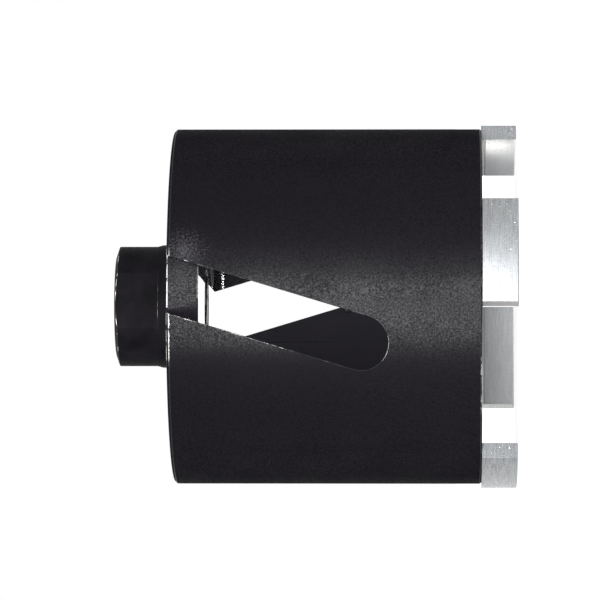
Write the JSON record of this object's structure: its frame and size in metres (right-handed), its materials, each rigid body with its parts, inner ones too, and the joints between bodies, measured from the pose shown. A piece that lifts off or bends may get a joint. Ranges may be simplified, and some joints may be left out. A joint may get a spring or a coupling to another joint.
{
  "type": "diamond core bit",
  "caption": "Dry diamond core bit for socket-box holes: black steel barrel with slanted dust slots, welded sintered segments and a threaded spindle hub with wrench flats.",
  "frame": {"origin": "on the bit's axis, level with the segment tips that it stands on", "axes": "+Z along the bit's axis from the cutting face towards the hub; -Y is the side with the first dust slot, which leans towards +X at the hub end"},
  "size_m": [0.082, 0.082, 0.0902],
  "materials": {
    "black_coating": "satin black coating with a fine speckle, bare steel at the cut edges",
    "blackened_hub": "satin black, bare machined thread",
    "sintered_segment": "matt sintered metal with open diamond grit"
  },
  "bodies": {
    "root": {"tube": "black_coating", "end_plate": "black_coating", "hub": "blackened_hub", "hub_weld": "black_coating", "segment_1": "sintered_segment", "segment_2": "sintered_segment", "segment_3": "sintered_segment", "segment_4": "sintered_segment"}
  },
  "joints": []
}
